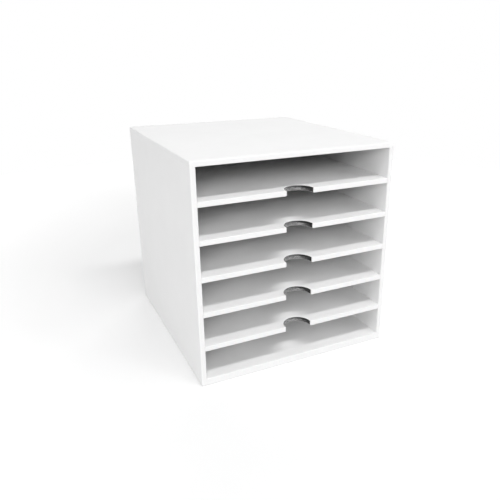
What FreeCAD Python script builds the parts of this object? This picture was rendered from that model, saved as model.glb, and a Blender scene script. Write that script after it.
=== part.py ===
"""Paper storage shelf box: an open-fronted case with five notched shelves.

Sizes are in millimetres. X runs along the front, Y from the front to the back and Z up.
The origin is the middle of the footprint, on the surface that the box stands on.
Each piece is written to its own STEP file.
"""
import FreeCAD, Part
import os

# Case
CASE_WIDTH = 330.0
CASE_DEPTH = 360.0
BAY_COUNT = 6
BAY_CLEAR_HEIGHT = 47.5

# Boards
SIDE_BOARD = 8.0
TOP_BOARD = 8.0
BOTTOM_BOARD = 12.0
SHELF_BOARD = 8.0
BACK_BOARD = 3.0

# Edging: white strips glued to the visible edges, then rounded over
BAND = 2.0
CASE_ARRIS_RADIUS = 1.8
MOUTH_ARRIS_RADIUS = 0.8
SHELF_ARRIS_RADIUS = 0.8

# Rebate that the back board lies in
BACK_LAP = 5.0
BACK_PLAY = 0.5
BACK_RECESS = 1.0

# Stopped housings in the sides, for the ends of the shelves
HOUSING_DEPTH = 3.0
HOUSING_STOP = 16.0
HOUSING_PLAY = 0.2
TONGUE_END_PLAY = 0.3
TONGUE_STOP_PLAY = 1.0

# Thumb notch in the front of each shelf
NOTCH_DIAMETER = 45.0
NOTCH_CENTRE_DEPTH = 3.0
NOTCH_CHAMFER = 0.4

# Dowels between the sides and the top and bottom boards
DOWEL_COUNT = 3
DOWEL_DIAMETER = 4.0
DOWEL_LENGTH = 20.0
DOWEL_PLAY = 0.1
DOWEL_GLUE_GAP = 1.0
DOWEL_SEAM_GAP = 0.2
DOWEL_END_DISTANCE = 50.0
TOP_DOWEL_GRIP = 5.0
BOTTOM_DOWEL_GRIP = 8.0

# Staples that hold the back board
STAPLE_CROWN = 11.0
STAPLE_LEG = 14.0
STAPLE_WIRE_WIDTH = 1.2
STAPLE_WIRE_THICKNESS = 0.8
STAPLE_POINT = 0.8
STAPLE_CORNER_DISTANCE = 30.0
STAPLES_PER_END = 3
STAPLES_PER_SHELF = 2

# Worked out from the sizes above
SHELF_COUNT = BAY_COUNT - 1
SHELF_PITCH = BAY_CLEAR_HEIGHT + SHELF_BOARD
MOUTH_HEIGHT = BAY_COUNT * BAY_CLEAR_HEIGHT + SHELF_COUNT * SHELF_BOARD
CASE_HEIGHT = BOTTOM_BOARD + MOUTH_HEIGHT + TOP_BOARD
HALF_WIDTH = CASE_WIDTH / 2
MOUTH_HALF_WIDTH = HALF_WIDTH - SIDE_BOARD
MOUTH_TOP = CASE_HEIGHT - TOP_BOARD
FRONT = -CASE_DEPTH / 2
REAR = CASE_DEPTH / 2
BANDED = FRONT + BAND
BACK_OUTSIDE = REAR - BACK_RECESS
BACK_INSIDE = BACK_OUTSIDE - BACK_BOARD
OVERCUT = 1.0
TOUCH = 0.01


def box(x_range, y_range, z_range):
    """Return the box between three pairs of limits."""
    (x0, x1), (y0, y1), (z0, z1) = x_range, y_range, z_range
    return Part.makeBox(x1 - x0, y1 - y0, z1 - z0, FreeCAD.Vector(x0, y0, z0))


def spread(first, last, count):
    """Return evenly spaced values from first to last."""
    step = (last - first) / max(count - 1, 1)
    return [first + step * index for index in range(count)]


def one_solid(shape):
    """Return the single solid that a boolean operation left."""
    solids = shape.Solids
    if len(solids) != 1:
        raise ValueError("expected one solid, found %d" % len(solids))
    return solids[0]


def is_on_front(edge):
    """Say whether an edge lies in the plane of the case's front."""
    return edge.BoundBox.YMax < FRONT + TOUCH


def shelf_bottom(number):
    """Return the height of a shelf's underside; shelf 1 is the lowest."""
    return BOTTOM_BOARD + number * SHELF_PITCH - SHELF_BOARD


# Case: one rounded shell, which the boards and their edging are then cut from


def case_shell():
    """Return the case as one solid, with its mouth, rebate and rounded arrises."""
    outside = box((-HALF_WIDTH, HALF_WIDTH), (FRONT, REAR), (0, CASE_HEIGHT))
    rounded = outside.makeFillet(
        CASE_ARRIS_RADIUS,
        [edge for edge in outside.Edges
         if is_on_front(edge) or edge.BoundBox.YLength > CASE_DEPTH - TOUCH])
    cavity = box((-MOUTH_HALF_WIDTH, MOUTH_HALF_WIDTH),
                 (FRONT - OVERCUT, REAR), (BOTTOM_BOARD, MOUTH_TOP))
    lap_half_width = MOUTH_HALF_WIDTH + BACK_LAP
    rebate = box((-lap_half_width, lap_half_width), (BACK_INSIDE, REAR + OVERCUT),
                 (BOTTOM_BOARD - BACK_LAP, MOUTH_TOP + BACK_LAP))
    shell = one_solid(rounded.cut(cavity).cut(rebate))

    def borders_mouth(edge):
        """Say whether an edge lies on the rim of the mouth."""
        bounds = edge.BoundBox
        within_width = max(-bounds.XMin, bounds.XMax) < MOUTH_HALF_WIDTH + TOUCH
        within_height = bounds.ZMin > BOTTOM_BOARD - TOUCH and bounds.ZMax < MOUTH_TOP + TOUCH
        return is_on_front(edge) and within_width and within_height

    return shell.makeFillet(
        MOUTH_ARRIS_RADIUS, [edge for edge in shell.Edges if borders_mouth(edge)])


# Dowels and staples


def dowel_seats():
    """Return each dowel's x, y and lower end, for the top and for the bottom joints."""
    ys = spread(FRONT + DOWEL_END_DISTANCE, REAR - DOWEL_END_DISTANCE, DOWEL_COUNT)
    x = HALF_WIDTH - BAND - DOWEL_SEAM_GAP - (DOWEL_DIAMETER + DOWEL_PLAY) / 2
    places = [(side * x, y) for side in (-1, 1) for y in ys]
    top_seat = MOUTH_TOP + TOP_DOWEL_GRIP - DOWEL_LENGTH
    bottom_seat = BOTTOM_BOARD - BOTTOM_DOWEL_GRIP
    return ([(x, y, top_seat) for x, y in places],
            [(x, y, bottom_seat) for x, y in places])


def dowel(x, y, seat):
    """Return one dowel, standing on the floor of its hole."""
    return Part.makeCylinder(DOWEL_DIAMETER / 2, DOWEL_LENGTH, FreeCAD.Vector(x, y, seat))


def dowel_hole(x, y, seat):
    """Return the hole round one dowel, with room for glue above it."""
    return Part.makeCylinder((DOWEL_DIAMETER + DOWEL_PLAY) / 2,
                             DOWEL_LENGTH + DOWEL_GLUE_GAP, FreeCAD.Vector(x, y, seat))


def staple(x, z, upright):
    """Return one staple, with its crown on the back board and its legs driven in."""
    half_crown = STAPLE_CROWN / 2
    inside = half_crown - STAPLE_WIRE_THICKNESS
    tip = BACK_OUTSIDE - STAPLE_LEG
    shoulder = tip + STAPLE_POINT
    crown_top = BACK_OUTSIDE + STAPLE_WIRE_THICKNESS
    outline = [(-half_crown, shoulder), (-inside, tip), (-inside, BACK_OUTSIDE),
               (inside, BACK_OUTSIDE), (inside, tip), (half_crown, shoulder),
               (half_crown, crown_top), (-half_crown, crown_top)]
    points = [FreeCAD.Vector(x + u, y, z - STAPLE_WIRE_WIDTH / 2) for u, y in outline]
    face = Part.Face(Part.makePolygon(points + points[:1]))
    solid = face.extrude(FreeCAD.Vector(0, 0, STAPLE_WIRE_WIDTH))
    if upright:
        solid.rotate(FreeCAD.Vector(x, 0, z), FreeCAD.Vector(0, 1, 0), 90)
    return solid


def back_staples():
    """Return the staples: along the sides, along both ends and into each shelf."""
    lap_middle = (BACK_LAP - BACK_PLAY) / 2
    side_x = MOUTH_HALF_WIDTH + lap_middle
    first_bay_middle = BOTTOM_BOARD + BAY_CLEAR_HEIGHT / 2
    bay_middles = [first_bay_middle + bay * SHELF_PITCH for bay in range(BAY_COUNT)]
    staples = [staple(side * side_x, z, True) for side in (-1, 1) for z in bay_middles]
    end_xs = spread(STAPLE_CORNER_DISTANCE - HALF_WIDTH,
                    HALF_WIDTH - STAPLE_CORNER_DISTANCE, STAPLES_PER_END)
    for z in (BOTTOM_BOARD - lap_middle, MOUTH_TOP + lap_middle):
        staples += [staple(x, z, False) for x in end_xs]
    shelf_xs = spread(-HALF_WIDTH / 2, HALF_WIDTH / 2, STAPLES_PER_SHELF)
    for number in range(1, SHELF_COUNT + 1):
        middle = shelf_bottom(number) + SHELF_BOARD / 2
        staples += [staple(x, middle, False) for x in shelf_xs]
    return staples


def drilled(board, holes):
    """Return a board with the holes that reach it cut out."""
    reaching = [hole for hole in holes if board.BoundBox.intersect(hole.BoundBox)]
    return one_solid(board.cut(Part.makeCompound(reaching)))


# Joinery


def housing(side, number):
    """Return the groove that one end of a shelf sits in, with its round front end."""
    bottom = shelf_bottom(number)
    height = SHELF_BOARD + HOUSING_PLAY
    radius = height / 2
    start = FRONT + HOUSING_STOP
    inner = side * (MOUTH_HALF_WIDTH - OVERCUT)
    outer = side * (MOUTH_HALF_WIDTH + HOUSING_DEPTH)
    x_range = (min(inner, outer), max(inner, outer))
    straight = box(x_range, (start + radius, REAR), (bottom, bottom + height))
    round_end = Part.makeCylinder(
        radius, HOUSING_DEPTH + OVERCUT,
        FreeCAD.Vector(x_range[0], start + radius, bottom + radius), FreeCAD.Vector(1, 0, 0))
    return straight.fuse(round_end)


def notch_cutter(bottom):
    """Return the round cutter for a shelf's thumb notch, flared for the chamfers."""
    y = FRONT + NOTCH_CENTRE_DEPTH
    radius = NOTCH_DIAMETER / 2
    low = bottom - OVERCUT
    high = bottom + SHELF_BOARD + OVERCUT
    reach = NOTCH_CHAMFER + OVERCUT
    profile = [(0, low), (radius + reach, low), (radius, low + reach),
               (radius, high - reach), (radius + reach, high), (0, high)]
    points = [FreeCAD.Vector(x, y, z) for x, z in profile]
    face = Part.Face(Part.makePolygon(points + points[:1]))
    return face.revolve(FreeCAD.Vector(0, y, 0), FreeCAD.Vector(0, 0, 1), 360)


def shelf_blank(number):
    """Return a shelf with its edging, tongues and notch, still in one piece."""
    bottom = shelf_bottom(number)
    z_range = (bottom, bottom + SHELF_BOARD)
    plain = box((-MOUTH_HALF_WIDTH, MOUTH_HALF_WIDTH), (FRONT, BACK_INSIDE), z_range)
    rounded = plain.makeFillet(
        SHELF_ARRIS_RADIUS,
        [edge for edge in plain.Edges
         if is_on_front(edge) and edge.BoundBox.XLength > MOUTH_HALF_WIDTH])
    tongue_end = MOUTH_HALF_WIDTH + HOUSING_DEPTH - TONGUE_END_PLAY
    tongue_start = FRONT + HOUSING_STOP + (SHELF_BOARD + HOUSING_PLAY) / 2 + TONGUE_STOP_PLAY
    tongues = box((-tongue_end, tongue_end), (tongue_start, BACK_INSIDE), z_range)
    return one_solid(rounded.fuse(tongues).removeSplitter().cut(notch_cutter(bottom)))


# Pieces


def case_pieces(shell, holes):
    """Return the boards of the case and their edging, by name."""
    board_y = (BANDED, REAR)
    band_y = (FRONT, BANDED)
    side_z = (BOTTOM_BOARD, MOUTH_TOP)
    pieces = {}
    for name, side in (("left", -1), ("right", 1)):
        x_range = tuple(sorted((side * MOUTH_HALF_WIDTH, side * HALF_WIDTH)))
        board = one_solid(shell.common(box(x_range, board_y, side_z)))
        for number in range(1, SHELF_COUNT + 1):
            board = board.cut(housing(side, number))
        pieces[name + "_side_panel"] = drilled(one_solid(board), holes)
        pieces[name + "_side_edge_band"] = one_solid(
            shell.common(box(x_range, band_y, side_z)))
    board_x = (BAND - HALF_WIDTH, HALF_WIDTH - BAND)
    levels = (("bottom", (0, BOTTOM_BOARD)), ("top", (MOUTH_TOP, CASE_HEIGHT)))
    for name, z_range in levels:
        board = one_solid(shell.common(box(board_x, board_y, z_range)))
        pieces[name + "_panel"] = drilled(board, holes)
        pieces[name + "_front_edge_band"] = one_solid(
            shell.common(box((-HALF_WIDTH, HALF_WIDTH), band_y, z_range)))
        pieces[name + "_left_edge_band"] = one_solid(
            shell.common(box((-HALF_WIDTH, board_x[0]), board_y, z_range)))
        pieces[name + "_right_edge_band"] = one_solid(
            shell.common(box((board_x[1], HALF_WIDTH), board_y, z_range)))
    return pieces


def back_panel(staples):
    """Return the thin back board, with the slots that the staples make."""
    half_width = MOUTH_HALF_WIDTH + BACK_LAP - BACK_PLAY
    z_range = (BOTTOM_BOARD - BACK_LAP + BACK_PLAY, MOUTH_TOP + BACK_LAP - BACK_PLAY)
    board = box((-half_width, half_width), (BACK_INSIDE, BACK_OUTSIDE), z_range)
    return drilled(board, staples)


def shelf_pieces(number, staples):
    """Return one shelf's board and the two strips of its edging, by name."""
    blank = shelf_blank(number)
    name = "shelf_%d" % number
    bounds = blank.BoundBox
    z_range = (bounds.ZMin, bounds.ZMax)
    x_range = (bounds.XMin, bounds.XMax)
    board = one_solid(blank.common(box(x_range, (BANDED, BACK_INSIDE), z_range)))
    pieces = {name: drilled(board, staples)}
    for side, side_x in (("left", (x_range[0], 0)), ("right", (0, x_range[1]))):
        strip = blank.common(box(side_x, (FRONT, BANDED), z_range))
        pieces["%s_%s_edge_band" % (name, side)] = one_solid(strip)
    return pieces


def build():
    """Return every piece of the box, by name."""
    top_seats, bottom_seats = dowel_seats()
    dowel_holes = [dowel_hole(*seat) for seat in top_seats + bottom_seats]
    staples = back_staples()
    pieces = case_pieces(case_shell(), dowel_holes + staples)
    pieces["back_panel"] = back_panel(staples)
    for number in range(1, SHELF_COUNT + 1):
        pieces.update(shelf_pieces(number, staples))
    pieces["top_dowels"] = Part.makeCompound([dowel(*seat) for seat in top_seats])
    pieces["bottom_dowels"] = Part.makeCompound([dowel(*seat) for seat in bottom_seats])
    pieces["back_panel_staples"] = Part.makeCompound(staples)
    return pieces


os.makedirs("parts", exist_ok=True)
for node, shape in build().items():
    shape.exportStep("parts/%s.step" % node)
    bounds = shape.BoundBox
    print("%-28s solids %2d  volume %10.0f mm3  %.1f x %.1f x %.1f mm" % (
        node, len(shape.Solids), shape.Volume, bounds.XLength, bounds.YLength,
        bounds.ZLength))
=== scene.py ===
"""The looks of the paper storage shelf box.

The flat boards keep their exact solids and get board finishes that show the core on every cut.
The edging, the notched shelves and the staples are made again here, in the same places, with
finer rounding. Lengths are in metres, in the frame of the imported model: X along the open front,
Y from the front to the back, Z up.
"""
import logging
import math
from dataclasses import dataclass
from enum import Enum
from typing import Callable, Iterable

import bmesh
import bpy
from mathutils import Matrix, Vector


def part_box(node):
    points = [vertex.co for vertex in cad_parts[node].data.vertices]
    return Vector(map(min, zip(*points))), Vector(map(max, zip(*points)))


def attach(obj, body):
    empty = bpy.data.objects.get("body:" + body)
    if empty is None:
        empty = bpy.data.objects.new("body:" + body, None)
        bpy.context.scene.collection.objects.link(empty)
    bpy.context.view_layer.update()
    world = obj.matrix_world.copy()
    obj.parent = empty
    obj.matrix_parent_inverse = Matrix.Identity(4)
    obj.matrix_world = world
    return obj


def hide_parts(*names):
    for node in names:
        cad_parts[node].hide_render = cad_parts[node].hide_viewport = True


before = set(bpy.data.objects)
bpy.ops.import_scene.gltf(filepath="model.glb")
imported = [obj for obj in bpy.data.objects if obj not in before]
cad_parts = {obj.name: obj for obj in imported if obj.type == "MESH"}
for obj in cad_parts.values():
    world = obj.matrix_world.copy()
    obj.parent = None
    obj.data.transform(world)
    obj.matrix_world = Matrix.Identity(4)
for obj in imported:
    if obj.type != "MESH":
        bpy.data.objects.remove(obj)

LOG = logging.getLogger("shelf_box")
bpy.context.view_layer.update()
BODY = "root"
SIDES = ("left", "right")
SHELVES = range(1, 6)

# Two places nearer to each other than this are one.
TOUCH = 1e-6

Node = bpy.types.Node
Socket = bpy.types.NodeSocket
Span = tuple[float, float]
Colour = tuple[float, float, float, float]


class Axis(Enum):
    """A direction of the frame, which a saw cut or a board's thickness follows."""

    X = 0
    Y = 1
    Z = 2

    def vector(self, length: float = 1.0) -> Vector:
        """Return the direction as a vector of a given length."""
        arrow = Vector((0.0, 0.0, 0.0))
        arrow[self.value] = length
        return arrow


class Kept(Enum):
    """The part of a workpiece that stays after a saw cut."""

    LOW = "low"
    HIGH = "high"
    BOTH = "both"


class Slot(Enum):
    """The material slots of the record."""

    BOARD = "white_board"
    EDGING = "white_edging"
    BACK = "white_back_board"
    DOWEL = "dowel_wood"
    STAPLE = "staple_steel"


class Carries(Enum):
    """What a socket of a shader node group carries."""

    PLACE = "NodeSocketVector"
    VALUE = "NodeSocketFloat"
    COLOUR = "NodeSocketColor"


# Shader nodes


@dataclass(frozen=True)
class Noise:
    """A noise, as a pattern uses it.

    Args:
        scale: How many waves a metre holds, unless the pattern brings its own scale.
        detail: How many finer layers lie over them.
        roughness: How strong the finer layers are.
        span: The values between which the pattern spreads it out.
    """

    scale: float = 1.0
    detail: float = 3.0
    roughness: float = 0.5
    span: Span = (0.3, 0.7)


class Wiring:
    """Places and joins the nodes of one node tree.

    Args:
        tree: The node tree of a material, group or world, which is emptied first.
    """

    def __init__(self, tree: bpy.types.NodeTree) -> None:
        """Take a tree and empty it."""
        self.tree = tree
        self.tree.nodes.clear()

    def join(self, node: Node, inputs: dict[str | int, object]) -> None:
        """Join other nodes' outputs to a node's inputs, or set the inputs to constants.

        Args:
            node: The node.
            inputs: What each input takes, by its name or number.
        """
        for key, value in inputs.items():
            if isinstance(value, Socket):
                self.tree.links.new(value, node.inputs[key])
            else:
                node.inputs[key].default_value = value

    def add(self, kind: str, inputs: dict[str | int, object] | None = None,
            **settings: object) -> Node:
        """Add one node.

        Args:
            kind: The node's type name.
            inputs: What each input takes, by its name or number.
            settings: The node's other properties.

        Returns:
            The new node.
        """
        node = self.tree.nodes.new(kind)
        for name, value in settings.items():
            setattr(node, name, value)
        self.join(node, inputs or {})
        return node

    def place(self) -> Socket:
        """Return the place on the piece, in metres."""
        return self.add("ShaderNodeTexCoord").outputs["Object"]

    def math(self, operation: str, *values: object) -> Socket:
        """Add a Math node and return its output."""
        return self.add("ShaderNodeMath", dict(enumerate(values)),
                        operation=operation).outputs[0]

    def vector(self, operation: str, *values: object) -> Socket:
        """Add a Vector Math node and return its vector."""
        return self.add("ShaderNodeVectorMath", dict(enumerate(values)),
                        operation=operation).outputs[0]

    def ramp(self, value: object, span: Span, onto: Span = (0.0, 1.0)) -> Socket:
        """Carry a value over from one range to another, without passing its ends.

        Args:
            value: The value or output to carry over.
            span: The range that it comes from.
            onto: The range that it goes to.

        Returns:
            The carried value's output.
        """
        return self.add("ShaderNodeMapRange", {0: value, 1: span[0], 2: span[1], 3: onto[0],
                                               4: onto[1]}, clamp=True).outputs[0]

    def mix(self, share: object, first: object, second: object) -> Socket:
        """Mix two colours by a share and return the output."""
        return self.add("ShaderNodeMix", {0: share, 6: first, 7: second},
                        data_type="RGBA").outputs[2]

    def blend(self, share: object, first: object, second: object) -> Socket:
        """Mix two values by a share and return the output."""
        return self.add("ShaderNodeMix", {0: share, 2: first, 3: second},
                        data_type="FLOAT").outputs[0]

    def noise(self, place: Socket, noise: Noise, scale: Socket | None = None) -> Node:
        """Add a noise.

        Args:
            place: Where it is read.
            noise: Its settings.
            scale: The pattern's own scale, where it brings one.

        Returns:
            The noise's node, which gives a value and a colour.
        """
        return self.add("ShaderNodeTexNoise", {
            "Vector": place, "Scale": noise.scale if scale is None else scale,
            "Detail": noise.detail, "Roughness": noise.roughness})

    def cells(self, place: Socket, scale: Socket) -> Socket:
        """Add a pattern of cells and return a tone that is random for each."""
        cells = self.add("ShaderNodeTexVoronoi", {"Vector": place, "Scale": scale})
        return self.add("ShaderNodeSeparateColor", {0: cells.outputs["Color"]}).outputs[0]

    def bump(self, strength: float, depth: float, height: Socket) -> Socket:
        """Add a Bump node and return the normal."""
        return self.add("ShaderNodeBump", {"Strength": strength, "Distance": depth,
                                           "Height": height}).outputs[0]

    def seen(self) -> Socket:
        """Return 1 for the rays that show the surroundings, and 0 for those that light."""
        path = self.add("ShaderNodeLightPath")
        straight = self.math("MAXIMUM", path.outputs["Is Camera Ray"],
                             path.outputs["Is Glossy Ray"])
        return self.math("MAXIMUM", straight, path.outputs["Is Transmission Ray"])


def grey(level: float) -> Colour:
    """Return a neutral colour with one level for red, green and blue."""
    return (level, level, level, 1.0)


class PatternGroup:
    """A shader node group that several finishes share.

    Subclasses name the group's sockets and wire its inside. The group is built on first use.
    """

    name = "pattern"
    takes: dict[str, Carries] = {}
    gives: dict[str, Carries] = {}

    @classmethod
    def tree(cls) -> bpy.types.NodeTree:
        """Return the group's node tree, and build it the first time.

        Returns:
            The node tree.
        """
        found = bpy.data.node_groups.get(cls.name)
        if found is not None:
            return found
        made = bpy.data.node_groups.new(cls.name, "ShaderNodeTree")
        for way, sockets in (("INPUT", cls.takes), ("OUTPUT", cls.gives)):
            for label, carries in sockets.items():
                made.interface.new_socket(name=label, in_out=way, socket_type=carries.value)
        wires = Wiring(made)
        source = wires.add("NodeGroupInput")
        sink = wires.add("NodeGroupOutput")
        wires.join(sink, cls.wire(wires, source))
        return made

    @classmethod
    def wire(cls, wires: Wiring, source: Node) -> dict[str, Socket]:
        """Make the group's inside.

        Args:
            wires: The group's wiring.
            source: The group's input node.

        Returns:
            What each of the group's outputs takes, by its name.
        """
        raise NotImplementedError

    @classmethod
    def put(cls, wires: Wiring, inputs: dict[str, object]) -> Node:
        """Put the group in a material.

        Args:
            wires: The material's wiring.
            inputs: What each of the group's inputs takes, by its name.

        Returns:
            The group's node.
        """
        return wires.add("ShaderNodeGroup", inputs, node_tree=cls.tree())


class SatinSheet(PatternGroup):
    """The faintly pebbled, faintly uneven surface of melamine, edging and paint.

    Its tone drifts in wide clouds, and its sheen in smaller ones, as if wiped.
    """

    name = "satin_sheet"
    takes = {"Position": Carries.PLACE, "Pebble Scale": Carries.VALUE,
             "Light": Carries.COLOUR, "Shade": Carries.COLOUR, "Smooth": Carries.VALUE,
             "Rough": Carries.VALUE}
    gives = {"Color": Carries.COLOUR, "Roughness": Carries.VALUE, "Height": Carries.VALUE}
    clouds = Noise(11.0, 3.0, 0.55, (0.35, 0.65))
    wiped = Noise(38.0, 4.0, 0.6)
    pebbles = Noise(detail=2.0)

    @classmethod
    def wire(cls, wires: Wiring, source: Node) -> dict[str, Socket]:
        """Make clouds for tone and sheen, and pebbles for height.

        Args:
            wires: The group's wiring.
            source: The group's input node.

        Returns:
            What each of the group's outputs takes, by its name.
        """
        given = source.outputs
        clouds = wires.noise(given["Position"], cls.clouds).outputs[0]
        wiped = wires.noise(given["Position"], cls.wiped).outputs[0]
        pebbles = wires.noise(given["Position"], cls.pebbles, given["Pebble Scale"])
        tone = wires.ramp(clouds, cls.clouds.span)
        sheen = wires.ramp(wiped, cls.wiped.span)
        return {"Color": wires.mix(tone, given["Light"], given["Shade"]),
                "Roughness": wires.blend(sheen, given["Smooth"], given["Rough"]),
                "Height": pebbles.outputs[0]}


class PressedChips(PatternGroup):
    """The pressed wood chips of a board's core, as a saw or router leaves them.

    Coarse flat chips fill the middle of the core, and fine ones its crusts by the faces. Small
    pores stay open between them.
    """

    name = "pressed_chips"
    takes = {"Position": Carries.PLACE, "Chip Scale": Carries.VALUE, "Crust": Carries.VALUE,
             "Dark": Carries.COLOUR, "Light": Carries.COLOUR}
    gives = {"Color": Carries.COLOUR, "Height": Carries.VALUE}
    bends = Noise(detail=2.0)
    bend_depth = 0.0012
    fine_ratio = 3.1
    fine_share = (0.25, 0.75)
    pores = Noise(detail=3.0, roughness=0.7, span=(0.34, 0.48))
    pore_ratio = 1.7
    pore_tone = 0.2
    pore_relief = 0.7
    chip_relief = 0.3

    @classmethod
    def wire(cls, wires: Wiring, source: Node) -> dict[str, Socket]:
        """Make coarse chips, fines between them and open pores.

        Args:
            wires: The group's wiring.
            source: The group's input node.

        Returns:
            What each of the group's outputs takes, by its name.
        """
        given = source.outputs
        scale = given["Chip Scale"]
        bends = wires.noise(given["Position"], cls.bends, scale).outputs[1]
        offset = wires.vector("MULTIPLY", bends, (cls.bend_depth,) * 3)
        moved = wires.vector("ADD", given["Position"], offset)
        coarse = wires.cells(moved, scale)
        fine = wires.cells(moved, wires.math("MULTIPLY", scale, cls.fine_ratio))
        fine_share = wires.ramp(given["Crust"], (0.0, 1.0), cls.fine_share)
        tone = wires.blend(fine_share, coarse, fine)
        pore_scale = wires.math("MULTIPLY", scale, cls.pore_ratio)
        pores = wires.noise(moved, cls.pores, pore_scale).outputs[0]
        solid = wires.ramp(pores, cls.pores.span, (cls.pore_tone, 1.0))
        shaded = wires.math("MULTIPLY", tone, solid)
        return {"Color": wires.mix(shaded, given["Dark"], given["Light"]),
                "Height": wires.math("ADD", wires.math("MULTIPLY", solid, cls.pore_relief),
                                     wires.math("MULTIPLY", tone, cls.chip_relief))}


# Finishes


@dataclass(frozen=True)
class Finish:
    """A surface finish, made once for each set of values.

    Args:
        name: The material's name.
    """

    name: str

    def material(self) -> bpy.types.Material:
        """Return the finish as a material, and make it the first time.

        Returns:
            The material.
        """
        found = bpy.data.materials.get(self.name)
        if found is not None:
            return found
        made = bpy.data.materials.new(self.name)
        made.use_nodes = True
        wires = Wiring(made.node_tree)
        shader = wires.add("ShaderNodeBsdfPrincipled")
        wires.add("ShaderNodeOutputMaterial", {"Surface": shader.outputs[0]})
        wires.join(shader, self.wire(wires))
        return made

    def wire(self, wires: Wiring) -> dict[str, object]:
        """Make the finish's pattern.

        Args:
            wires: The material's wiring.

        Returns:
            What the shader's inputs take, by name.
        """
        raise NotImplementedError


@dataclass(frozen=True)
class SatinFinish(Finish):
    """A plain white surface with a faint pebble: edging, paint.

    Args:
        light: The level of its lighter clouds.
        shade: The level of its darker clouds.
        smooth: The roughness where it is shiniest.
        rough: The roughness where it is dullest.
        pebble_scale: How many pebbles a metre holds.
        relief: How deep the pebbles are, in metres.
        relief_strength: How strongly they catch the light, up to 1.
    """

    light: float = 0.82
    shade: float = 0.806
    smooth: float = 0.4
    rough: float = 0.48
    pebble_scale: float = 2600.0
    relief: float = 0.00002
    relief_strength: float = 0.5

    def satin(self, wires: Wiring, place: Socket) -> Node:
        """Put the satin pattern in the material.

        Args:
            wires: The material's wiring.
            place: Where the pattern is read.

        Returns:
            The pattern's node.
        """
        return SatinSheet.put(wires, {
            "Position": place, "Pebble Scale": self.pebble_scale, "Light": grey(self.light),
            "Shade": grey(self.shade), "Smooth": self.smooth, "Rough": self.rough})

    def wire(self, wires: Wiring) -> dict[str, object]:
        """Make the satin surface.

        Args:
            wires: The material's wiring.

        Returns:
            What the shader's inputs take, by name.
        """
        satin = self.satin(wires, wires.place()).outputs
        return {"Base Color": satin["Color"], "Roughness": satin["Roughness"],
                "Normal": wires.bump(self.relief_strength, self.relief, satin["Height"])}


@dataclass(frozen=True)
class FacedBoard(SatinFinish):
    """A chip core between two thin white faces, so every cut across it shows its layers.

    Args:
        relief: How deep the pores of a cut are, in metres.
        relief_strength: How strongly they catch the light, up to 1.
        pebble_share: How deep the faces' pebbles are beside those pores.
        axis: The direction of the board's thickness.
        middle: Where the middle of its thickness lies.
        thickness: The whole thickness.
        face: How thick each white face is.
        face_blur: How far the border of face and core is blurred, each way.
        crust: From which to which share of the thickness the fine chips take over.
        chip_dark: The level of its darkest chips.
        chip_light: The level of its lightest chips.
        chip_scale: How many chips a metre holds, along the board.
        flatness: How many times thinner than long a chip is.
        core_rough: The roughness of a cut.
        sawn_from: Where in the maker's big sheet the board was sawn, so no two look alike.
    """

    relief: float = 0.00025
    relief_strength: float = 0.6
    pebble_share: float = 0.06
    axis: Axis = Axis.Z
    middle: float = 0.0
    thickness: float = 0.008
    face: float = 0.0004
    face_blur: float = 0.00004
    crust: Span = (0.27, 0.36)
    chip_dark: float = 0.06
    chip_light: float = 0.43
    chip_scale: float = 360.0
    flatness: float = 2.6
    core_rough: float = 0.9
    sawn_from: tuple[float, float, float] = (0.0, 0.0, 0.0)

    def wire(self, wires: Wiring) -> dict[str, object]:
        """Make the white faces and the chips, and part them by the depth in the board.

        Args:
            wires: The material's wiring.

        Returns:
            What the shader's inputs take, by name.
        """
        place = wires.add("ShaderNodeMapping", {
            "Vector": wires.place(), "Location": self.axis.vector(-self.middle)}).outputs[0]
        split = wires.add("ShaderNodeSeparateXYZ", {0: place})
        depth = wires.math("ABSOLUTE", split.outputs[self.axis.value])
        border = self.thickness / 2 - self.face
        faced = wires.ramp(depth, (border - self.face_blur, border + self.face_blur))
        sheet = wires.vector("ADD", place, self.sawn_from)
        squeeze = Vector((1.0, 1.0, 1.0)) + self.axis.vector(self.flatness - 1.0)
        satin = self.satin(wires, sheet).outputs
        chips = PressedChips.put(wires, {
            "Position": wires.vector("MULTIPLY", sheet, squeeze),
            "Chip Scale": self.chip_scale, "Dark": grey(self.chip_dark),
            "Light": grey(self.chip_light),
            "Crust": wires.ramp(depth, (self.thickness * self.crust[0],
                                        self.thickness * self.crust[1]))}).outputs
        pebbles = wires.math("MULTIPLY", satin["Height"], self.pebble_share)
        height = wires.blend(faced, chips["Height"], pebbles)
        core = self.core_colour(wires, place, sheet, chips["Color"])
        return {"Base Color": wires.mix(faced, core, satin["Color"]),
                "Roughness": wires.blend(faced, self.core_rough, satin["Roughness"]),
                "Normal": wires.bump(self.relief_strength, self.relief, height)}

    def core_colour(self, wires: Wiring, place: Socket, sheet: Socket,
                    chips: Socket) -> Socket:
        """Return the colour of the cut core.

        Args:
            wires: The material's wiring.
            place: The place, from the middle of the board's thickness.
            sheet: The same place in the big sheet.
            chips: The colour of the chips.

        Returns:
            The core's colour, which here is that of its chips.
        """
        return chips


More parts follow.
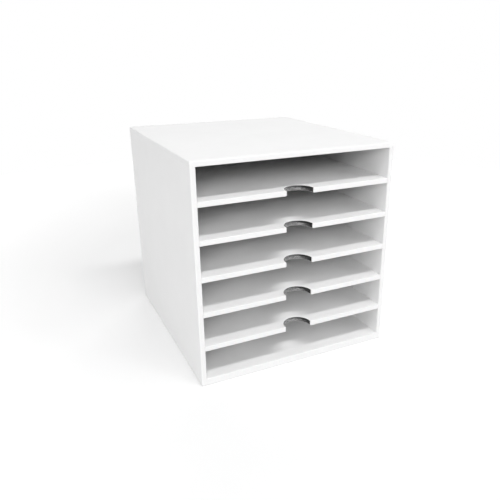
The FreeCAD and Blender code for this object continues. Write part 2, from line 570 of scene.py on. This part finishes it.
@dataclass(frozen=True)
class NotchShadedBoard(FacedBoard):
    """A faced board whose notch a router cut, with painted shade on its cut core: darker in the
    upper layers towards the right, and far darker past the notch's right end.

    Args:
        right_shade_reach: From where to where across the board the painted shade at the notch's
            right end deepens.
        upper_shade_rise: From where to where over the middle of its thickness the painted shade
            deepens upwards.
        slant: How much further the right end's painted shade reaches in the upper layers.
        upper_shade_reach: From where to where across the board the painted shade on the upper
            layers deepens.
        upper_shade_depth: How much of the chips' tone the painted shade takes in the upper
            layers.
        right_shade_depth: How much it takes at the notch's right end.
        wander: How far the border of that painted shade wanders.
        ragged: The noise that it wanders by.
    """

    right_shade_reach: Span = (0.013, 0.0215)
    upper_shade_rise: Span = (-0.0006, 0.0024)
    slant: float = 0.01
    upper_shade_reach: Span = (-0.022, 0.002)
    upper_shade_depth: float = 0.65
    right_shade_depth: float = 0.84
    wander: float = 0.003
    ragged: Noise = Noise(260.0)

    def core_colour(self, wires: Wiring, place: Socket, sheet: Socket,
                    chips: Socket) -> Socket:
        """Return the colour of the chips with painted shade on them.

        Args:
            wires: The material's wiring.
            place: The place, from the middle of the board's thickness.
            sheet: The same place in the big sheet.
            chips: The colour of the chips.

        Returns:
            The core's colour.
        """
        # Painted shade: the upper layers darken towards the right, and the core past the notch's
        # right end darkens far more, with a ragged border.
        ragged = wires.noise(sheet, self.ragged).outputs[0]
        astray = wires.ramp(ragged, self.ragged.span, (-self.wander / 2, self.wander / 2))
        split = wires.add("ShaderNodeSeparateXYZ", {0: place}).outputs
        upper = wires.ramp(split[self.axis.value], self.upper_shade_rise)
        slanted = wires.math("ADD", split[0], wires.math("MULTIPLY", upper, self.slant))
        across = wires.math("ADD", slanted, astray)
        upper_shade = wires.math("MULTIPLY", upper, wires.ramp(
            split[0], self.upper_shade_reach, (0.0, self.upper_shade_depth)))
        kept = wires.math("MULTIPLY", wires.math("SUBTRACT", 1.0, upper_shade),
                          wires.ramp(across, self.right_shade_reach, (1.0, 1.0 - self.right_shade_depth)))
        return wires.mix(kept, grey(0.0), chips)


@dataclass(frozen=True)
class DrawnSteel(Finish):
    """Bright wire with fine marks along it.

    Args:
        level: The metal's own level.
        mark_level: The level of its marks, as a share of that.
        marks: The marks.
        roughness: Its roughness, from least to most.
    """

    level: float = 0.62
    mark_level: float = 0.85
    marks: Noise = Noise(4000.0)
    roughness: Span = (0.28, 0.42)

    def wire(self, wires: Wiring) -> dict[str, object]:
        """Make drawing marks in the tone and the roughness.

        Args:
            wires: The material's wiring.

        Returns:
            What the shader's inputs take, by name.
        """
        marks = wires.noise(wires.place(), self.marks).outputs[0]
        return {"Metallic": 1.0,
                "Base Color": wires.mix(wires.ramp(marks, self.marks.span),
                                        grey(self.level * self.mark_level), grey(self.level)),
                "Roughness": wires.ramp(marks, self.marks.span, self.roughness)}


@dataclass(frozen=True)
class DowelWood(Finish):
    """Beech with upright grain and short flecks.

    Args:
        pale: The colour between the flecks.
        fleck: The colour of the flecks.
        grain: The grain, across the dowel.
        draw: How far the grain is drawn out in each direction, as a share of its scale.
        fleck_span: The values of the grain between which a fleck begins.
        roughness: Its roughness, from least to most.
    """

    pale: Colour = (0.58, 0.42, 0.27, 1.0)
    fleck: Colour = (0.36, 0.23, 0.13, 1.0)
    grain: Noise = Noise(1500.0, 4.0)
    draw: tuple[float, float, float] = (1.0, 1.0, 0.12)
    fleck_span: Span = (0.52, 0.66)
    roughness: Span = (0.55, 0.7)

    def wire(self, wires: Wiring) -> dict[str, object]:
        """Make grain that is drawn out along the dowel.

        Args:
            wires: The material's wiring.

        Returns:
            What the shader's inputs take, by name.
        """
        drawn = wires.vector("MULTIPLY", wires.place(), self.draw)
        grain = wires.noise(drawn, self.grain).outputs[0]
        return {"Base Color": wires.mix(wires.ramp(grain, self.fleck_span), self.pale,
                                        self.fleck),
                "Roughness": wires.ramp(grain, self.grain.span, self.roughness)}


# Shaping


# Faces that meet at more than the first angle keep a sharp edge between them, and edges
# sharper than the second are eased.
SHARP_ANGLE = math.radians(40.0)
EASED_ANGLE = math.radians(55.0)


class Workpiece:
    """A piece of stock that is sawn and rounded over, and then set down as an object."""

    def __init__(self) -> None:
        """Start with nothing."""
        self.mesh = bmesh.new()

    @classmethod
    def block(cls, low: Vector, high: Vector) -> "Workpiece":
        """Return a block between two corners.

        Args:
            low: The lowest corner.
            high: The highest corner.

        Returns:
            The block.
        """
        work = cls()
        made = bmesh.ops.create_cube(work.mesh, size=1.0)
        bmesh.ops.scale(work.mesh, vec=high - low, verts=made["verts"])
        bmesh.ops.translate(work.mesh, vec=(low + high) / 2, verts=made["verts"])
        return work

    def copy(self) -> "Workpiece":
        """Return the same piece again.

        Returns:
            The other piece.
        """
        twin = Workpiece()
        twin.mesh.free()
        twin.mesh = self.mesh.copy()
        return twin

    def saw(self, axis: Axis, at: float, kept: Kept = Kept.BOTH) -> "Workpiece":
        """Cut the piece across, and close the cut.

        Args:
            axis: The direction that the cut lies square to.
            at: Where the cut lies along it.
            kept: What stays. BOTH only scores the surface.

        Returns:
            The workpiece.
        """
        mesh = self.mesh
        cut = bmesh.ops.bisect_plane(
            mesh, geom=mesh.verts[:] + mesh.edges[:] + mesh.faces[:], dist=TOUCH,
            plane_co=axis.vector(at), plane_no=axis.vector(),
            clear_inner=kept is Kept.HIGH, clear_outer=kept is Kept.LOW)
        if kept is not Kept.BOTH:
            rim = [part for part in cut["geom_cut"] if isinstance(part, bmesh.types.BMEdge)]
            if rim:
                bmesh.ops.edgenet_fill(mesh, edges=rim)
        return self

    def round_over(self, wanted: Callable[[Vector, Vector], bool], radius: float,
                   steps: int) -> "Workpiece":
        """Round some edges over.

        Args:
            wanted: Says from an edge's lowest and highest corner whether it is rounded.
            radius: How far the rounding reaches on each face.
            steps: How many steps it has.

        Returns:
            The workpiece.
        """
        chosen = [edge for edge in self.mesh.edges if wanted(*corners(edge.verts))]
        bmesh.ops.bevel(self.mesh, geom=chosen, offset=radius, offset_type="OFFSET",
                        segments=steps, profile=0.5, affect="EDGES", material=-1)
        return self

    def set_down(self, name: str, nodes: Iterable[str], slot: Slot,
                 finish: Finish, ease: float = 0.0) -> bpy.types.Object:
        """Turn the workpiece into a finished piece that stands for CAD nodes.

        Args:
            name: The piece's name.
            nodes: The CAD nodes that it replaces.
            slot: The record's slot that its finish comes from; not used.
            finish: The finish.
            ease: How far the sharp corners are eased, or nothing.

        Returns:
            The new object.
        """
        bmesh.ops.recalc_face_normals(self.mesh, faces=self.mesh.faces[:])
        for face in self.mesh.faces:
            face.smooth = True
        for edge in self.mesh.edges:
            edge.smooth = edge.calc_face_angle(math.pi) < SHARP_ANGLE
        data = bpy.data.meshes.new(name)
        self.mesh.to_mesh(data)
        self.mesh.free()
        data.materials.append(finish.material())
        piece = bpy.data.objects.new(name, data)
        bpy.context.scene.collection.objects.link(piece)
        if ease > 0.0:
            eased = piece.modifiers.new("eased corners", "BEVEL")
            eased.width = ease
            eased.segments = 1
            eased.limit_method = "ANGLE"
            eased.angle_limit = EASED_ANGLE
        evened = piece.modifiers.new("even shading", "WEIGHTED_NORMAL")
        evened.keep_sharp = True
        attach(piece, BODY)
        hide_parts(*nodes)
        LOG.info("%s: %d faces, stands for %s", name, len(data.polygons), ", ".join(nodes))
        return piece


def corners(verts: Iterable[bmesh.types.BMVert]) -> tuple[Vector, Vector]:
    """Find the box round some vertices.

    Args:
        verts: The vertices.

    Returns:
        The box's lowest and highest corner.
    """
    places = [vert.co for vert in verts]
    low = Vector([min(place[k] for place in places) for k in range(3)])
    high = Vector([max(place[k] for place in places) for k in range(3)])
    return low, high


def at(value: float, level: float) -> bool:
    """Say whether a coordinate lies at a level."""
    return abs(value - level) < TOUCH


def lies_in(low: Vector, high: Vector, **planes: float) -> bool:
    """Say whether an edge lies in one or more planes.

    Args:
        low: The edge's lowest corner.
        high: Its highest corner.
        planes: Where each plane lies, by the direction that it is square to.

    Returns:
        Whether the edge lies in all of them.
    """
    return all(at(getattr(end, axis), level)
               for axis, level in planes.items() for end in (low, high))


def dress(node: str, finish: Finish) -> None:
    """Give a CAD node its finish, and leave its solid as it is.

    Args:
        node: The node's name.
        finish: The finish.
    """
    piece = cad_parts[node]
    piece.data.materials.clear()
    piece.data.materials.append(finish.material())
    LOG.info("%s: keeps its solid, finished as %s", node, finish.name)


# The box


EDGING = SatinFinish("white_edging_strip", light=0.81, shade=0.8, smooth=0.36, rough=0.44,
                     pebble_scale=1900.0, relief=0.00001)
PAINT = SatinFinish("painted_back_board", light=0.78, shade=0.76, smooth=0.5, rough=0.62,
                    pebble_scale=1200.0, relief=0.00004)

# How far glued corners are eased, which draws the hairline of each seam.
SEAM_EASE = 0.00012


@dataclass
class Edging:
    """The white strips on the case's front and on the ends of its top and bottom boards.

    Args:
        arris: The rounding of the case's outer edges.
        arris_steps: How many steps it has.
        rim: The rounding round the mouth.
        rim_steps: How many steps it has.
    """

    arris: float = 0.0018
    arris_steps: int = 8
    rim: float = 0.0008
    rim_steps: int = 4

    def build(self) -> None:
        """Make all eight strips."""
        for side in SIDES:
            self.side_strip(side)
        for level in ("top", "bottom"):
            self.front_strip(level)
            for side in SIDES:
                self.end_strip(level, side)

    def finish_strip(self, work: Workpiece, node: str) -> None:
        """Set a strip down in the place of its node."""
        work.set_down(node.replace("edge_band", "edging"), [node], Slot.EDGING, EDGING,
                      SEAM_EASE)

    def side_strip(self, side: str) -> None:
        """Make the strip on the front of one side board.

        Args:
            side: The side, left or right.
        """
        node = side + "_side_edge_band"
        low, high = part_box(node)
        outer, inner = (low.x, high.x) if side == "left" else (high.x, low.x)
        work = Workpiece.block(low, high)
        work.round_over(lambda a, b: lies_in(a, b, x=outer, y=low.y), self.arris,
                        self.arris_steps)
        work.round_over(lambda a, b: lies_in(a, b, x=inner, y=low.y), self.rim,
                        self.rim_steps)
        self.finish_strip(work, node)

    def front_strip(self, level: str) -> None:
        """Make the strip along the front of the top or the bottom board.

        Args:
            level: The board, top or bottom.
        """
        node = level + "_front_edge_band"
        low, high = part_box(node)
        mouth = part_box("left_side_edge_band")[1].x
        outer, inner = (high.z, low.z) if level == "top" else (low.z, high.z)

        def outside(a: Vector, b: Vector) -> bool:
            """Say whether an edge is an outer arris, where two of the case's faces meet."""
            end = lies_in(a, b, x=low.x) or lies_in(a, b, x=high.x)
            return sum((end, lies_in(a, b, y=low.y), lies_in(a, b, z=outer))) > 1

        def at_mouth(a: Vector, b: Vector) -> bool:
            """Say whether an edge is part of the mouth's rim."""
            between = a.x > mouth - TOUCH and b.x < -mouth + TOUCH
            return between and lies_in(a, b, y=low.y, z=inner)

        work = Workpiece.block(low, high).saw(Axis.X, mouth).saw(Axis.X, -mouth)
        work.round_over(outside, self.arris, self.arris_steps)
        work.round_over(at_mouth, self.rim, self.rim_steps)
        self.finish_strip(work, node)

    def end_strip(self, level: str, side: str) -> None:
        """Make the strip on one end of the top or the bottom board.

        Args:
            level: The board, top or bottom.
            side: Its end, left or right.
        """
        node = "%s_%s_edge_band" % (level, side)
        low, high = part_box(node)
        outer_x = low.x if side == "left" else high.x
        outer_z = high.z if level == "top" else low.z
        work = Workpiece.block(low, high)
        work.round_over(lambda a, b: lies_in(a, b, x=outer_x, z=outer_z), self.arris,
                        self.arris_steps)
        self.finish_strip(work, node)


@dataclass
class Shelf:
    """One shelf: a faced board with a thumb notch, and the strips on its front.

    Args:
        number: The shelf's number, counted from the lowest.
        notch_radius: The radius of the thumb notch.
        notch_centre: How far behind the front its centre lies.
        notch_steps: How many steps its arc has.
        tongue_start: How far behind the front the tongues start.
        ease: The rounding of the front and of the notch's rims.
        ease_steps: How many steps it has.
        sheet_step: How far apart in the big sheet two shelves were sawn.
    """

    number: int
    notch_radius: float = 0.0225
    notch_centre: float = 0.003
    notch_steps: int = 72
    tongue_start: float = 0.0211
    ease: float = 0.0006
    ease_steps: int = 3
    sheet_step: float = 0.37

    def blank(self) -> Workpiece:
        """Shape the shelf before its edging is parted from its board.

        Returns:
            The blank.
        """
        node = "shelf_%d" % self.number
        low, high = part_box(node)
        strip_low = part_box(node + "_left_edge_band")[0]
        front = strip_low.y
        wall = -strip_low.x
        tongue_y = front + self.tongue_start
        centre = Vector((0.0, front + self.notch_centre, low.z))
        reach = math.sqrt(self.notch_radius ** 2 - self.notch_centre ** 2)
        work = Workpiece()
        mesh = work.mesh
        outline = [(reach, front), (wall, front), (wall, tongue_y), (high.x, tongue_y),
                   (high.x, high.y), (low.x, high.y), (low.x, tongue_y),
                   (-wall, tongue_y), (-wall, front)]
        verts = [mesh.verts.new((x, y, low.z)) for x, y in outline]
        for first, second in zip(verts, verts[1:]):
            mesh.edges.new((first, second))
        half_open = math.atan2(reach, self.notch_centre)
        turn = 2.0 * math.pi - 2.0 * half_open
        bmesh.ops.spin(mesh, geom=[verts[0]], cent=centre, axis=Axis.Z.vector(), angle=turn,
                       steps=self.notch_steps, use_merge=False, use_duplicate=False,
                       dvec=(0.0, 0.0, 0.0))
        tip = min((vert for vert in mesh.verts if len(vert.link_edges) == 1
                   and vert is not verts[-1]), key=lambda vert: vert.co.x)
        mesh.edges.new((tip, verts[-1]))
        face = bmesh.ops.contextual_create(mesh, geom=mesh.edges[:])["faces"]
        raised = bmesh.ops.extrude_face_region(mesh, geom=face)["geom"]
        bmesh.ops.translate(mesh, vec=Axis.Z.vector(high.z - low.z),
                            verts=[part for part in raised
                                   if isinstance(part, bmesh.types.BMVert)])

        def is_rim(a: Vector, b: Vector) -> bool:
            """Say whether an edge lies on a rim of the front or of the notch."""
            middle = (a + b) / 2 - centre
            on_notch = math.hypot(middle.x, middle.y) < self.notch_radius + 10 * TOUCH
            return at(a.z, b.z) and (lies_in(a, b, y=front) or on_notch)

        return work.round_over(is_rim, self.ease, self.ease_steps)

    def build(self) -> None:
        """Make the shelf's board and its two strips."""
        node = "shelf_%d" % self.number
        low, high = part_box(node)
        seam = low.y
        board = self.blank()
        strips = [board.copy().saw(Axis.Y, seam, Kept.LOW).saw(Axis.X, 0.0, half)
                  for half in (Kept.LOW, Kept.HIGH)]
        # The shelf's finish paints shade on the notch wall's cut core.
        finish = NotchShadedBoard("%s_notch_shaded_board" % node, axis=Axis.Z,
                             middle=(low.z + high.z) / 2, thickness=high.z - low.z,
                             sawn_from=(self.sheet_step * self.number, 0.0, 0.0))
        board.saw(Axis.Y, seam, Kept.HIGH).set_down(
            node + "_board", [node], Slot.BOARD, finish, SEAM_EASE)
        for side, strip in zip(SIDES, strips):
            strip.set_down("%s_%s_edging" % (node, side),
                           ["%s_%s_edge_band" % (node, side)], Slot.EDGING, EDGING,
                           SEAM_EASE)


@dataclass
class Carcass:
    """The flat boards of the case, its back board and its dowels, as they were machined.

    Args:
        side: The thickness of the side boards.
        top: The thickness of the top board.
        bottom: The thickness of the bottom board.
    """

    side: float = 0.008
    top: float = 0.008
    bottom: float = 0.012

    def build(self) -> None:
        """Finish every board and dowel."""
        for name in SIDES:
            self.board(name + "_side_panel", Axis.X, self.side)
        self.board("top_panel", Axis.Z, self.top)
        self.board("bottom_panel", Axis.Z, self.bottom)
        dress("back_panel", PAINT)
        for name in ("top_dowels", "bottom_dowels"):
            dress(name, DowelWood("beech_dowels"))

    def board(self, node: str, axis: Axis, thickness: float) -> None:
        """Give one board the finish whose layers follow its thickness.

        Args:
            node: The board's node.
            axis: The direction of its thickness.
            thickness: The thickness.
        """
        low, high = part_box(node)
        middle = (low[axis.value] + high[axis.value]) / 2
        dress(node, FacedBoard(node + "_faced_board", axis=axis, middle=middle,
                                           thickness=thickness))


@dataclass
class BackStaples:
    """The staples in the back board, with their bends eased.

    Args:
        bend: The rounding of the wire's edges.
        bend_steps: How many steps it has.
        flat_angle: The angle under which two faces are one, in degrees.
    """

    bend: float = 0.0002
    bend_steps: int = 2
    flat_angle: float = 1.0

    def build(self) -> None:
        """Make the staples again from their solids."""
        node = "back_panel_staples"
        work = Workpiece()
        mesh = work.mesh
        mesh.from_mesh(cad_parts[node].data)
        bmesh.ops.remove_doubles(mesh, verts=mesh.verts[:], dist=TOUCH)
        bmesh.ops.dissolve_limit(mesh, angle_limit=math.radians(self.flat_angle),
                                 verts=mesh.verts[:], edges=mesh.edges[:])
        work.round_over(lambda a, b: True, self.bend, self.bend_steps)
        work.set_down("back_staples", [node], Slot.STAPLE, DrawnSteel("bright_wire"))


# The studio


@dataclass(frozen=True)
class SoftBox:
    """A studio lamp with a wide, even front, which points at the box.

    It lights the box but doesn't show in its gloss, so that the white top doesn't clip where
    it is seen at a low angle.

    Args:
        name: The lamp's name.
        turn: The direction it stands in, in degrees from the front towards the right.
        rise: How high it stands over the box's middle, in degrees.
        width: How wide its front is.
        height: How high its front is.
        power: Its power in watts.
        distance: How far it stands from the box's middle.
    """

    name: str
    turn: float
    rise: float
    width: float
    height: float
    power: float
    distance: float = 4.0

    def build(self, target: Vector) -> None:
        """Hang the lamp.

        Args:
            target: The point that it faces.
        """
        turn, rise = math.radians(self.turn), math.radians(self.rise)
        way = Vector((math.sin(turn) * math.cos(rise), -math.cos(turn) * math.cos(rise),
                      math.sin(rise)))
        data = bpy.data.lights.new(self.name, "AREA")
        data.shape = "RECTANGLE"
        data.size = self.width
        data.size_y = self.height
        data.energy = self.power
        lamp = bpy.data.objects.new(self.name, data)
        lamp.matrix_world = (Matrix.Translation(target + way * self.distance)
                             @ way.to_track_quat("Z", "Y").to_matrix().to_4x4())
        lamp.visible_glossy = False
        bpy.context.scene.collection.objects.link(lamp)
        LOG.info("%s: %.1f W from %.0f degrees, %.0f up", self.name, self.power, self.turn,
                 self.rise)


LAMPS = (
    SoftBox("overhead strip", turn=0.0, rise=63.0, width=2.4, height=0.5, power=84.0),
    SoftBox("front left box", turn=-18.0, rise=21.0, width=2.4, height=0.8, power=61.0),
    SoftBox("front right box", turn=48.0, rise=26.0, width=2.4, height=0.8, power=51.5),
    SoftBox("left box", turn=-82.0, rise=12.0, width=2.6, height=1.0, power=71.5),
    SoftBox("right box", turn=92.0, rise=38.0, width=1.6, height=1.6, power=12.0),
    SoftBox("rear right box", turn=155.0, rise=48.0, width=1.6, height=1.6, power=34.0))


@dataclass
class Studio:
    """The pale floor, the white surroundings, the lamps and the camera.

    Args:
        floor_radius: The radius of the round floor, past which all is white.
        floor_sides: How many sides its outline has.
        floor_gap: How far it lies under the box.
        floor_level: The level of the floor's own colour.
        floor_glow: How much white shows in the floor beside its own colour, near and far.
        glow_ellipse_reach: How wide and how deep the ellipse round the box is, out of which the
            white rises, from the middle.
        glow_rise_fade: Between which shares of that reach it rises; the rising white is painted
            light that fills the box's shadow further out.
        sky: The strength of the light from all round.
        lamp_target: The point that the lamps face.
        camera_place: Where the camera stands.
        camera_turn: Its tilt, roll and turn, in degrees.
        camera_sight: How far it sees.
        lens: Its focal length, in millimetres.
        sensor: The width of its sensor, in millimetres.
        shift: How far the picture is shifted, as a share of its width.
    """

    floor_radius: float = 1.6
    floor_sides: int = 96
    floor_gap: float = 0.0001
    floor_level: float = 0.65
    floor_glow: Span = (0.3, 0.66)
    glow_ellipse_reach: Span = (0.7, 1.4)
    glow_rise_fade: Span = (0.45, 1.3)
    sky: float = 0.08
    lamp_target: tuple[float, float, float] = (0.0, 0.0, 0.17)
    camera_place: tuple[float, float, float] = (-0.3676, -0.8402, 0.4829)
    camera_turn: tuple[float, float, float] = (69.327, -0.156, -26.153)
    camera_sight: float = 100.0
    lens: float = 38.307
    sensor: float = 36.0
    shift: Span = (-0.0476, -0.0041)

    def build(self) -> None:
        """Set up the floor, the surroundings, the lamps and the camera."""
        self.build_camera()
        self.build_floor()
        self.build_sky()
        for lamp in LAMPS:
            lamp.build(Vector(self.lamp_target))
        bpy.context.scene.view_settings.view_transform = "Standard"

    def build_camera(self) -> None:
        """Set up the camera where the photograph was taken from."""
        data = bpy.data.cameras.new("camera")
        data.sensor_width = self.sensor
        data.lens = self.lens
        data.shift_x, data.shift_y = self.shift
        data.clip_end = self.camera_sight
        camera = bpy.data.objects.new("camera", data)
        tilt, roll, turn = (math.radians(angle) for angle in self.camera_turn)
        camera.matrix_world = (
            Matrix.Translation(self.camera_place) @ Matrix.Rotation(turn, 4, "Z")
            @ Matrix.Rotation(tilt, 4, "X") @ Matrix.Rotation(roll, 4, "Z"))
        bpy.context.scene.collection.objects.link(camera)
        bpy.context.scene.camera = camera

    def build_floor(self) -> None:
        """Lay the floor, which looks white and still takes the box's shadow, filled with painted
        light further out.
        """
        mesh = bmesh.new()
        bmesh.ops.create_circle(mesh, cap_ends=True, segments=self.floor_sides,
                                radius=self.floor_radius)
        bmesh.ops.translate(mesh, vec=Axis.Z.vector(-self.floor_gap), verts=mesh.verts[:])
        data = bpy.data.meshes.new("floor")
        mesh.to_mesh(data)
        mesh.free()
        data.materials.append(self.floor_material())
        floor = bpy.data.objects.new("floor", data)
        bpy.context.scene.collection.objects.link(floor)

    def floor_material(self) -> bpy.types.Material:
        """Mix the floor's own colour with a white that only shows and doesn't light, and that
        rises outwards as painted light over the box's shadow.

        Returns:
            The material.
        """
        material = bpy.data.materials.new("pale_floor")
        material.use_nodes = True
        wires = Wiring(material.node_tree)
        own = wires.add("ShaderNodeBsdfDiffuse", {"Color": grey(self.floor_level)})
        # Painted light: the white rises outwards from an ellipse round the box, longer front to
        # back than side to side, and fills the shadow there.
        shrunk = wires.vector("DIVIDE", wires.place(), (*self.glow_ellipse_reach, 1.0))
        away = wires.add("ShaderNodeVectorMath", {0: shrunk}, operation="LENGTH").outputs[1]
        white = wires.ramp(away, self.glow_rise_fade, self.floor_glow)
        glow = wires.add("ShaderNodeEmission", {
            "Color": grey(1.0), "Strength": wires.math("MULTIPLY", wires.seen(), white)})
        both = wires.add("ShaderNodeAddShader", {0: own.outputs[0], 1: glow.outputs[0]})
        wires.add("ShaderNodeOutputMaterial", {"Surface": both.outputs[0]})
        return material

    def build_sky(self) -> None:
        """Light the box evenly from all round, and show white behind it."""
        world = bpy.data.worlds.new("surroundings")
        world.use_nodes = True
        bpy.context.scene.world = world
        wires = Wiring(world.node_tree)
        lighting, shown = (
            wires.add("ShaderNodeBackground", {"Color": grey(1.0), "Strength": strength})
            for strength in (self.sky, 1.0))
        mixed = wires.add("ShaderNodeMixShader", {0: wires.seen(), 1: lighting.outputs[0],
                                                  2: shown.outputs[0]})
        wires.add("ShaderNodeOutputWorld", {"Surface": mixed.outputs[0]})


def main() -> None:
    """Build the studio and the box, piece by piece."""
    logging.basicConfig(level=logging.INFO, format="%(name)s: %(message)s")
    Studio().build()
    Carcass().build()
    Edging().build()
    for number in SHELVES:
        Shelf(number).build()
    BackStaples().build()


if __name__ == "__main__":
    main()
